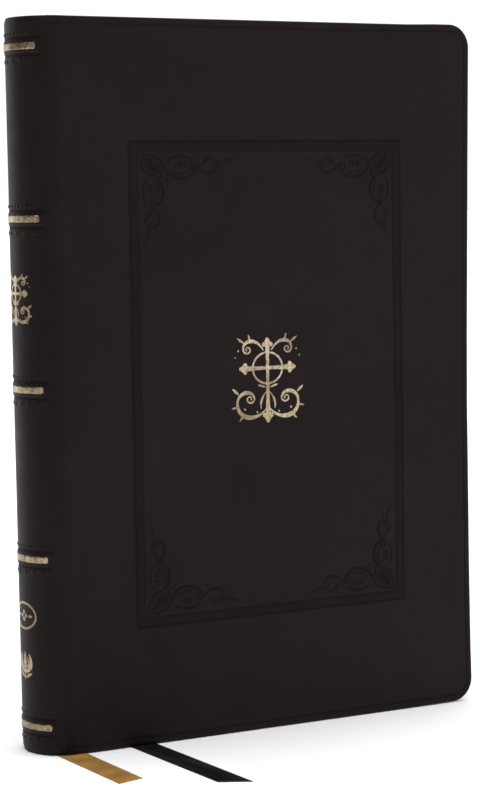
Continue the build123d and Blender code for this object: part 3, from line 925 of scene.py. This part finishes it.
def spine_piece():
    t = np.linspace(-SEAM_T, SEAM_T, 109)
    parts, prev = [], 0.4
    for z0 in sorted(HUB_Z):
        lo, hi = z0 - 6.2, z0 + 6.2
        if lo > prev:
            parts.append((prev, lo, 1.1 if prev > 2 else 0.5))
        parts.append((max(lo, prev), min(hi, HEIGHT - 0.4), 0.30))
        prev = min(hi, HEIGHT - 0.4)
    if prev < HEIGHT - 0.41:
        parts.append((prev, HEIGHT - 0.4, 0.4))
    z = strip_values(*parts)
    nz, nt = len(z), len(t)
    T, Z = np.meshgrid(t, z)
    h = spine_height(T, Z) + 0.02 * np.sin(Z / 19.0) * np.cos(T * 2.1) + 0.004
    X, Y = spine_point(T, h)
    # painted shadow lines beside the raised bands, partly the tooling's own darker colour
    tool_and_shade = spine_tool_and_shadow_lines(T, Z)
    # the front side stands a little higher, so that the cover clears the ribbons
    low = LIFT * smooth((T + 0.02) / 0.04)
    Z = np.where(Z < 3.0, Z + low * (1 - Z / 3.0), Z)
    V = [np.stack([X, Y, Z], -1).reshape(-1, 3)]
    faces = grid_faces(nz, nt)
    base = nz * nt
    hb, ht = h[0], h[-1]
    TH = 0.8
    rows_top, rows_bot = [], []
    K = 6
    # rolled ends, then the inner face
    def end_ring(k, hh, zz, sgn):
        f = math.pi * k / K
        r = TH / 2
        x, y = spine_point(t, hh - r + r * math.cos(f))
        return np.stack([x, y, zz + sgn * r * math.sin(f)], 1)
    loop = [np.arange((nz - 1) * nt, nz * nt)]
    for k in range(1, K + 1):
        V.append(end_ring(k, ht, Z[-1], +1))
        loop.append(base + np.arange(nt))
        base += nt
    zi = np.array([HEIGHT - 1.6, HEIGHT - 3.0, 215.0, 190.0, 160.0, 118.0, 80.0, 45.0, 20.0, 3.0, 1.6])
    for q in zi:
        ends = min(q, HEIGHT - q)
        hh = np.full(nt, -TH - (0.42 * (1 - float(smooth(ends / 2.6))) ** 2))
        x, y = spine_point(t, hh)
        zz = np.full(nt, q) + (LIFT * smooth((t + 0.02) / 0.04) * (1 - q / 3.0) if q < 3 else 0)
        V.append(np.stack([x, y, zz], 1))
        loop.append(base + np.arange(nt))
        base += nt
    for k in range(K, 0, -1):
        V.append(end_ring(k, hb, Z[0], -1))
        loop.append(base + np.arange(nt))
        base += nt
    loop.append(np.arange(nt))
    for a, b in zip(loop[:-1], loop[1:]):
        faces += np.stack([a[:-1], a[1:], b[1:], b[:-1]], 1).tolist()
    # side walls in the joints
    for j in (0, nt - 1):
        col = [i * nt + j for i in range(nz)] + [int(l[j]) for l in loop[1:-1]]
        faces.append(col if j else col[::-1])
    ob = new_mesh("spine_leather", soft_shape(np.concatenate(V)), faces, [M_LEATHER])
    tooled_and_groove_shade(ob, tool_and_shade.ravel())
    outward(ob)
    for f in (-1, -2):
        ob.data.polygons[f].use_smooth = False
    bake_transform(ob)
    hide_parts("front_spine_leather", "rear_spine_leather")
    return ob


spine_piece()


# ================================================================== foil
def shell_from_sdf(name, S, box, step, mapper, thick, mat):
    """Thin foil piece from the strokes' outline: a crisp contour, a top, a bottom and its walls."""
    u = np.arange(box[0], box[1] + step, step)
    v = np.arange(box[2], box[3] + step, step)
    Ug, Vg = np.meshgrid(u, v)
    f = strokes_sdf(np.stack([Ug.ravel(), Vg.ravel()], 1), S).reshape(Ug.shape)
    f = np.where(np.abs(f) < 1e-6, -1e-6, f)
    keys, pts, polys = {}, [], []

    def vid(key, p):
        if key not in keys:
            keys[key] = len(pts)
            pts.append(p)
        return keys[key]

    ins = f < 0
    act = ins[:-1, :-1] | ins[1:, :-1] | ins[:-1, 1:] | ins[1:, 1:]
    for i, j in zip(*np.nonzero(act)):
        cs = [(i, j), (i, j + 1), (i + 1, j + 1), (i + 1, j)]
        poly = []
        for q in range(4):
            a, b = cs[q], cs[(q + 1) % 4]
            fa, fb = f[a], f[b]
            if fa < 0:
                poly.append(vid((a,), (u[a[1]], v[a[0]])))
            if (fa < 0) != (fb < 0):
                k = fa / (fa - fb)
                key = (min(a, b), max(a, b))
                poly.append(vid(key, (u[a[1]] + (u[b[1]] - u[a[1]]) * k, v[a[0]] + (v[b[0]] - v[a[0]]) * k)))
        if len(poly) >= 3:
            polys.append(poly)
    P = np.array(pts)
    top = mapper(P[:, 0], P[:, 1], thick)
    bot = mapper(P[:, 0], P[:, 1], 0.0)
    n = len(P)
    count = {}
    for p in polys:
        for a, b in zip(p, p[1:] + p[:1]):
            count[(a, b)] = count.get((a, b), 0) + 1
    faces = [list(p) for p in polys] + [[x + n for x in p[::-1]] for p in polys]
    for (a, b) in count:
        if (b, a) not in count:
            faces.append([b, a, a + n, b + n])
    ob = new_mesh(name, np.concatenate([top, bot]), faces, [mat])
    import bmesh
    bm = bmesh.new()
    bm.from_mesh(ob.data)
    bmesh.ops.remove_doubles(bm, verts=bm.verts, dist=2e-6)
    bmesh.ops.recalc_face_normals(bm, faces=bm.faces)
    bm.to_mesh(ob.data)
    bm.free()
    ob.data.polygons.foreach_set("use_smooth", np.full(len(ob.data.polygons), False))
    return ob


def on_cover(u, v, h):
    x, z = u + MARK_X, v + MARK_Z
    y = -(Y_FACE - 0.10 - waves(x, z) * 1.0 + h)
    return np.stack([x, y, z], 1)


mark = shell_from_sdf("front_mark", cover_mark(), (-14.5, 14.5, -17.0, 17.5), 0.17, on_cover, 0.085, M_FOIL_PAINTED_LIGHTER)
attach(mark, "front_cover")
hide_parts("front_ornament_foil")


def spine_foil():
    """Gold lines on the raised bands, in one piece round the spine."""
    V, faces, base = [], [], 0
    for z0 in HUB_Z:
        tb = float(s_to_t(11.5))
        t = np.linspace(-tb, tb, 97)
        w = 1.05 + 0.05 * np.sin(t * 23.0 + z0) + 0.03 * np.sin(t * 61.0 + 2 * z0)
        w = w * np.sqrt(np.clip((tb - np.abs(t)) / 0.03, 0.25, 1.0))
        q = np.linspace(-1, 1, 7)
        n, m = len(t), len(q)
        T = np.repeat(t[:, None], m, 1)
        Zq = z0 + w[:, None] * q[None, :]
        h0 = spine_height(T, Zq)
        for s, e in ((0, 0.045), (1, -0.02)):
            x, y = spine_point(T, h0 + e)
            V.append(np.stack([x, y, Zq], -1).reshape(-1, 3))
        faces += grid_faces(n, m, base=base) + grid_faces(n, m, base=base + n * m, flip=True)
        for i in range(n - 1):
            for j in (0, m - 1):
                a, b = base + i * m + j, base + (i + 1) * m + j
                faces.append([a, b, b + n * m, a + n * m])
        for i in (0, n - 1):
            for j in range(m - 1):
                a, b = base + i * m + j, base + i * m + j + 1
                faces.append([a, b, b + n * m, a + n * m])
        base += 2 * n * m
    ob = new_mesh("spine_bands_foil", soft_shape(np.concatenate(V)), faces, [M_FOIL_SPINE_PAINTED_DARKER])
    outward(ob)
    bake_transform(ob)
    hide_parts("front_spine_foil", "rear_spine_foil")


spine_foil()
for nm, (zc, S) in zip(("spine_cross_foil", "spine_cartouche_foil", "spine_palmette_foil"), SPINE_MARKS):
    def on_spine(u, v, h, zc=zc):
        t = s_to_t(u)
        z = v + zc
        x, y = spine_point(t, -0.07 + h + 0.02 * np.sin(z / 19.0) * np.cos(t * 2.1))
        return soft_shape(np.stack([x, y, z], 1))
    o = shell_from_sdf(nm, S, (-9.0, 9.0, -8.5, 8.5), 0.14, on_spine, 0.07, M_FOIL_SPINE_PAINTED_DARKER)
    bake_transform(o)


# ================================================================== text block
def fore_x(y):
    return 80.3 - 4.6 * (1.0 - (np.abs(y) / 11.8) ** 2)


def back_x(y):
    return X_BC - np.sqrt(R_BACK ** 2 - y ** 2)


def sheet_outline(x0, x1, z0, z1, r, n=9):
    a = np.radians(np.linspace(-90, 0, n))
    b = np.radians(np.linspace(0, 90, n))
    p = [(x0, z0)] + [(x, z0) for x in np.linspace(x0, x1 - r, 14)[1:-1]]
    p += [(x1 - r + r * math.cos(k), z0 + r + r * math.sin(k)) for k in a]
    p += [(x1, z) for z in np.linspace(z0 + r, z1 - r, 18)[1:-1]]
    p += [(x1 - r + r * math.cos(k), z1 - r + r * math.sin(k)) for k in b]
    p += [(x, z1) for x in np.linspace(x1 - r, x0, 14)[1:-1]] + [(x0, z1)]
    p += [(x0, z) for z in np.linspace(z1, z0, 12)[1:-1]]
    return np.array(p)


def text_block(name, node, side, body):
    """Sewn sections: each leaf edge shows as fine layering, with a groove between sections."""
    rng = np.random.default_rng(11 + side)
    y0, y1, n_sig, per = 0.45, 11.80, 16, 6
    V, faces, mats = [], [], []
    loops, base = [], 0
    for k in range(n_sig):
        a = y0 + (y1 - y0) * k / n_sig
        b = y0 + (y1 - y0) * (k + 1) / n_sig
        dx, dzt, dzb = rng.normal(0, 0.035), rng.normal(0, 0.02), rng.normal(0, 0.02)
        for q in range(per + 1):
            y = a + (b - a) * (0.02 + 0.96 * q / per)
            g = 0.09 if q in (0, per) else (0.02 if q in (1, per - 1) else 0.0)
            j = rng.normal(0, 0.012)
            # the folded back of a section is round
            r = 0.10 + 0.22 * (2 * q / per - 1) ** 4
            x0 = back_x(b) + r
            P = sheet_outline(x0, fore_x(0.5 * (a + b)) - g * 1.0 + dx + j - 0.03, 3.3 + g + 0.03 + dzb + abs(j), 232.7 - g - 0.03 + dzt - abs(j), 6.5)
            V.append(np.stack([P[:, 0], np.full(len(P), side * y), P[:, 1]], 1))
            loops.append(base + np.arange(len(P)))
            base += len(P)
    for a, b in zip(loops[:-1], loops[1:]):
        q = np.stack([a, b, np.roll(b, -1), np.roll(a, -1)], 1)
        faces += q.tolist()
        mats += [1] * len(q)
    faces += [loops[0].tolist(), loops[-1].tolist()]
    mats += [0, 0]
    ob = new_mesh(name, np.concatenate(V), faces, [M_PAGE, M_GILT], mats, shade=False)
    outward(ob)
    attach(ob, body)
    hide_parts(node)
    return ob


text_block("front_text_block", "front_signatures", -1, "front_half")
text_block("rear_text_block", "rear_signatures", +1, "root")


def gutter():
    """Paper fold at the middle of the book, from one half to the other."""
    x_in, x_out, y = -76.0, -82.02, 0.437
    prof = [(x_in, y), (-78.0, y), (-80.0, y), (-81.4, y)]
    a = np.radians(np.linspace(90, -90, 17))
    prof += [(-81.6 - 0.42 * math.cos(k), y * math.sin(k)) for k in a]
    prof += [(-81.4, -y), (-80.0, -y), (-78.0, -y), (x_in, -y)]
    prof = np.array(prof)
    T = np.gradient(prof, axis=0)
    N = np.stack([-T[:, 1], T[:, 0]], 1)
    N /= np.linalg.norm(N, axis=1)[:, None]
    inner = prof + N * 0.012
    outer = prof - N * 0.0
    zs = np.linspace(3.5, 232.5, 30)
    n, m = len(zs), len(prof)
    V = []
    for line in (outer, inner):
        for z in zs:
            V.append(np.stack([line[:, 0], line[:, 1], np.full(m, z)], 1))
    faces = grid_faces(n, m) + grid_faces(n, m, base=n * m, flip=True)
    for i in range(n - 1):
        for j in (0, m - 1):
            p, q = i * m + j, (i + 1) * m + j
            faces.append([p, q, q + n * m, p + n * m])
    for i in (0, n - 1):
        for j in range(m - 1):
            p, q = i * m + j, i * m + j + 1
            faces.append([p, q, q + n * m, p + n * m])
    ob = new_mesh("gutter_fold", np.concatenate(V), faces, [M_PLAIN])
    outward(ob)
    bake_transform(ob)


gutter()


# ================================================================== leaves and endpapers
def leaf_piece(name, node, x0, x1, y0, y1, mat, r=6.5, gilt=True):
    """One sheet: a closed thin leaf."""
    xs = np.r_[np.linspace(x0, x0 + 50, 46), np.linspace(x0 + 50, x1 - r, 16)[1:], np.linspace(x1 - r, x1, 10)[1:]]
    a = np.radians(np.linspace(0, 90, 10))
    zc = r * (1 - np.sin(a[::-1]))
    zs = np.r_[3.3 + zc, np.linspace(3.3 + r, 232.7 - r, 26)[1:-1], (232.7 - zc)[::-1]]
    zs = np.unique(np.round(zs, 5))
    dz = np.maximum(np.maximum(3.3 + r - zs, zs - (232.7 - r)), 0)
    xm = x1 - r + np.sqrt(np.maximum(r ** 2 - dz ** 2, 0))
    X = np.where(xs[None, :] > x1 - 40, x1 - 40 + (xs[None, :] - (x1 - 40)) * ((xm[:, None] - (x1 - 40)) / 40.0), xs[None, :])
    Z = np.repeat(zs[:, None], len(xs), 1)
    n, m = X.shape
    V = [np.stack([X, np.full(X.shape, y), Z], -1).reshape(-1, 3) for y in (y0, y1)]
    faces = grid_faces(n, m) + grid_faces(n, m, base=n * m, flip=True)
    for i in range(n - 1):
        for j in (0, m - 1):
            p, q = i * m + j, (i + 1) * m + j
            faces.append([p, q, q + n * m, p + n * m])
    for i in (0, n - 1):
        for j in range(m - 1):
            p, q = i * m + j, i * m + j + 1
            faces.append([p, q, q + n * m, p + n * m])
    flat = 2 * (n - 1) * (m - 1)
    ob = new_mesh(name, np.concatenate(V), faces, [mat, M_GILT if gilt else mat], [0] * flat + [1] * (len(faces) - flat))
    outward(ob)
    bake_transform(ob)
    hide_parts(node)
    return ob


leaf_piece("front_flyleaf_sheet", "front_flyleaf", -72.7, 80.2, -12.09, -11.97, M_END)
leaf_piece("title_sheet", "title_leaf", -72.7, 80.0, -11.92, -11.84, M_TITLE)
leaf_piece("back_flyleaf_sheet", "back_flyleaf", -72.7, 80.2, 11.97, 12.09, M_END)
for i, (a, b) in enumerate(((-0.08, -0.02), (-0.18, -0.12), (-0.28, -0.22), (-0.38, -0.32))):
    leaf_piece("middle_sheet_%d" % (i + 1), "middle_leaf_%d" % (i + 1),
               -80.5 - 0.25 * i, 75.5, a, b, M_PAGE)


def endpaper(name, node, side):
    """Pastedown and the paper joint that carries on to the text block, in one sheet."""
    z0 = (LIFT if side < 0 else 0.0) + 3.6
    z1 = HEIGHT - 3.6
    x1, r = 80.4, 4.4
    xs = np.r_[np.linspace(-75.4, -71.6, 22), np.linspace(-71.6, 60, 26)[1:], np.linspace(60, x1 - r, 6)[1:], np.linspace(x1 - r, x1, 10)[1:]]
    a = np.radians(np.linspace(0, 90, 10))
    zc = r * (1 - np.sin(a[::-1]))
    zs = np.unique(np.round(np.r_[z0 + zc, np.linspace(z0 + r, z1 - r, 24), (z1 - zc)[::-1]], 5))
    dz = np.maximum(np.maximum(z0 + r - zs, zs - (z1 - r)), 0)
    xm = x1 - r + np.sqrt(np.maximum(r ** 2 - dz ** 2, 0))
    X = np.where(xs[None, :] > 40, 40 + (xs[None, :] - 40) * ((xm[:, None] - 40) / (x1 - 40)), xs[None, :])
    Z = np.repeat(zs[:, None], len(xs), 1)
    # runs from the block's shoulder, up into the joint, then flat on the cover
    yi = np.where(X < -71.6, 11.90 + 0.26 * smooth((X + 75.4) / 3.6), 12.15 + 0.0 * X)
    yi = np.minimum(yi, 12.15)
    yo = yi + np.where(X < -71.6, 0.09, 0.115)
    n, m = X.shape
    V = [np.stack([X, side * yi, Z], -1).reshape(-1, 3), np.stack([X, side * yo, Z], -1).reshape(-1, 3)]
    faces = grid_faces(n, m) + grid_faces(n, m, base=n * m, flip=True)
    for i in range(n - 1):
        for j in (0, m - 1):
            p, q = i * m + j, (i + 1) * m + j
            faces.append([p, q, q + n * m, p + n * m])
    for i in (0, n - 1):
        for j in range(m - 1):
            p, q = i * m + j, i * m + j + 1
            faces.append([p, q, q + n * m, p + n * m])
    ob = new_mesh(name, soft_shape(np.concatenate(V), 1.0 if side < 0 else 0.55), faces, [M_END])
    outward(ob)
    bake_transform(ob)
    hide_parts(node)


endpaper("front_endpaper", "front_pastedown", -1)
endpaper("back_endpaper", "back_pastedown", +1)


def card_piece(name, node, side, cover):
    """The card inside the cover, with the same slow curve at the fore edge as the leather on it."""
    z0 = (LIFT if side < 0 else 0.0) + 1.6
    z1 = HEIGHT - 1.6
    x0, x1, r = -69.5, X_FORE - 1.6, 6.4
    xs = np.r_[x0, x0 + 0.25, np.linspace(-60, 60, 25), np.linspace(60, x1 - r, 6)[1:], np.linspace(x1 - r, x1, 12)[1:]]
    a = np.radians(np.linspace(0, 90, 12))
    zc = r * (1 - np.sin(a[::-1]))
    zs = np.unique(np.round(np.r_[z0 + zc, np.linspace(z0 + r, z1 - r, 28), (z1 - zc)[::-1]], 5))
    dz = np.maximum(np.maximum(z0 + r - zs, zs - (z1 - r)), 0)
    xm = x1 - r + np.sqrt(np.maximum(r ** 2 - dz ** 2, 0))
    X = np.where(xs[None, :] > 40, 40 + (xs[None, :] - 40) * ((xm[:, None] - 40) / (x1 - 40)), xs[None, :])
    Z = np.repeat(zs[:, None], len(xs), 1)
    n, m = X.shape
    edge = np.zeros((n, m))
    edge[0, :] = edge[-1, :] = edge[:, -1] = edge[:, 0] = 0.06
    V = [np.stack([X, side * (12.46 + edge), Z], -1).reshape(-1, 3), np.stack([X, side * (12.945 - edge), Z], -1).reshape(-1, 3)]
    faces = grid_faces(n, m) + grid_faces(n, m, base=n * m, flip=True)
    for i in range(n - 1):
        for j in (0, m - 1):
            p, q = i * m + j, (i + 1) * m + j
            faces.append([p, q, q + n * m, p + n * m])
    for i in (0, n - 1):
        for j in range(m - 1):
            p, q = i * m + j, i * m + j + 1
            faces.append([p, q, q + n * m, p + n * m])
    ob = new_mesh(name, soft_shape(np.concatenate(V), 1.0 if side < 0 else 0.55), faces, [M_CARD])
    outward(ob)
    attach(ob, cover)
    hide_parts(node)


card_piece("front_card", "front_cover_card", -1, "front_cover")
card_piece("back_card", "back_cover_card", +1, "back_cover")


# ================================================================== head and tail bands
def band_piece(name, node, side, body, head):
    """Silk wrapped over a core: each turn of thread is a ridge, two colours in turn."""
    rb = 1.0
    z = 232.7 + rb + 0.02 if head else 3.3 - rb - 0.02
    a0, a1 = math.asin(0.03 / 12.75), math.asin(10.38 / 12.75)
    n, m = 168, 20
    A = np.linspace(a0, a1, n)
    V = []
    for k, a in enumerate(A):
        turn = (k / (n - 1)) * 28
        r = rb * (0.93 + 0.07 * abs(math.sin(math.pi * turn)))
        for q in range(m):
            f = 2 * math.pi * q / m
            R_ = 12.75 + r * math.cos(f)
            V.append((X_BC - R_ * math.cos(a), side * R_ * math.sin(a), z + r * math.sin(f)))
    faces = grid_faces(n, m, wrap=True)
    mats = [int((i // m) / (n - 1) * 28 / 2.0) % 2 for i in range(len(faces))]
    faces += [list(range(m)), list(range((n - 1) * m, n * m))]
    mats += [0, 0]
    ob = new_mesh(name, V, faces, [M_SILK_A, M_SILK_B], mats)
    outward(ob)
    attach(ob, body)
    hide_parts(node)


band_piece("front_head_bead", "front_head_band", -1, "front_half", True)
band_piece("rear_head_bead", "rear_head_band", +1, "root", True)
band_piece("front_tail_bead", "front_tail_band", -1, "front_half", False)
band_piece("rear_tail_bead", "rear_tail_band", +1, "root", False)

# carried-over CAD nodes
for node, mat in (("front_mull", M_MULL), ("rear_mull", M_MULL), ("front_spine_lining", M_KRAFT), ("rear_spine_lining", M_KRAFT),
                  ("front_sewing_threads", M_THREAD), ("rear_sewing_threads", M_THREAD)):
    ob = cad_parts[node]
    ob = ob if isinstance(ob, bpy.types.Object) else bpy.data.objects[node]
    for s in ob.material_slots:
        s.material = mat

# ================================================================== floor, light
fl = bpy.data.meshes.new("floor")
fl.from_pydata([(-25, -25, 0), (25, -25, 0), (25, 25, 0), (-25, 25, 0)], [], [(0, 1, 2, 3)])
floor = bpy.data.objects.new("floor", fl)
bpy.context.scene.collection.objects.link(floor)
g = G("floor_white", "object")
nf = g.noise(3.0, 2.0, 0.5)
g.set(Base_Color=g.mix(g.rng(nf, 0.3, 0.7, 0.0, 1.0), (0.90, 0.90, 0.90), (0.93, 0.93, 0.93)))
g.set(Roughness=0.9)
g.bs.inputs["Specular IOR Level"].default_value = 0.1
fl.materials.append(g.m)

world = bpy.data.worlds.new("studio")
bpy.context.scene.world = world
world.use_nodes = True
wn = world.node_tree
wn.nodes.clear()
wo = wn.nodes.new("ShaderNodeOutputWorld")
bg = wn.nodes.new("ShaderNodeBackground")
tc = wn.nodes.new("ShaderNodeTexCoord")
dotn = wn.nodes.new("ShaderNodeVectorMath")
dotn.operation = "DOT_PRODUCT"
ax = Vector((0.50, 0.86, -0.06)).normalized()
dotn.inputs[1].default_value = ax
wn.links.new(tc.outputs["Generated"], dotn.inputs[0])
rp = wn.nodes.new("ShaderNodeValToRGB")
mr = wn.nodes.new("ShaderNodeMapRange")
wn.links.new(dotn.outputs["Value"], mr.inputs[0])
mr.inputs[1].default_value, mr.inputs[2].default_value = -1.0, 1.0
wn.links.new(mr.outputs[0], rp.inputs[0])
e = rp.color_ramp.elements
e[0].position, e[0].color = 0.0, (0.17, 0.165, 0.17, 1)
e[1].position, e[1].color = 1.0, (1.06, 1.06, 1.06, 1)
k = e.new(0.80)
k.color = (0.26, 0.26, 0.265, 1)
k = e.new(0.955)
k.color = (1.06, 1.06, 1.06, 1)
rp.color_ramp.interpolation = "EASE"
d2 = wn.nodes.new("ShaderNodeVectorMath")
d2.operation = "DOT_PRODUCT"
d2.inputs[1].default_value = Vector((-0.78, -0.62, 0.0)).normalized()
wn.links.new(tc.outputs["Generated"], d2.inputs[0])
m2 = wn.nodes.new("ShaderNodeMapRange")
wn.links.new(d2.outputs["Value"], m2.inputs[0])
for q, v in zip((1, 2, 3, 4), (0.45, 0.95, 1.0, 0.2)):
    m2.inputs[q].default_value = v
mx = wn.nodes.new("ShaderNodeVectorMath")
mx.operation = "SCALE"
wn.links.new(rp.outputs[0], mx.inputs[0])
wn.links.new(m2.outputs[0], mx.inputs["Scale"])
wn.links.new(mx.outputs[0], bg.inputs[0])
bg.inputs[1].default_value = 1.0
paper = wn.nodes.new("ShaderNodeBackground")
paper.inputs[0].default_value = (1.06, 1.06, 1.06, 1)
seen = wn.nodes.new("ShaderNodeLightPath")
both = wn.nodes.new("ShaderNodeMixShader")
wn.links.new(seen.outputs["Is Camera Ray"], both.inputs[0])
wn.links.new(bg.outputs[0], both.inputs[1])
wn.links.new(paper.outputs[0], both.inputs[2])
wn.links.new(both.outputs[0], wo.inputs[0])


def light(name, kind, energy, loc, target, size=1.0, angle=0.0, size_y=None, colour=(1, 1, 1)):
    L = bpy.data.lights.new(name, kind)
    L.energy = energy
    L.color = colour
    if kind == "AREA":
        L.shape = "RECTANGLE"
        L.size, L.size_y = size, size_y or size
    if kind == "SUN":
        L.angle = math.radians(angle)
    o = bpy.data.objects.new(name, L)
    bpy.context.scene.collection.objects.link(o)
    o.location = loc
    o.rotation_mode = "QUATERNION"
    o.rotation_quaternion = (Vector(target) - Vector(loc)).to_track_quat("-Z", "Y")
    return o


light("top_soft", "SUN", 3.75, (0.10, -0.05, 2.0), (0, 0, 0), angle=60)
light("right_soft", "AREA", 4.0, (1.25, -1.05, 0.95), (0.02, 0, 0.16), size=1.0, size_y=0.9)
light("left_rim", "AREA", 1.75, (-0.50, 1.05, 0.35), (-0.08, 0, 0.12), size=0.3, size_y=0.9)

sc = bpy.context.scene
sc.view_settings.view_transform = "Standard"
sc.view_settings.look = "None"
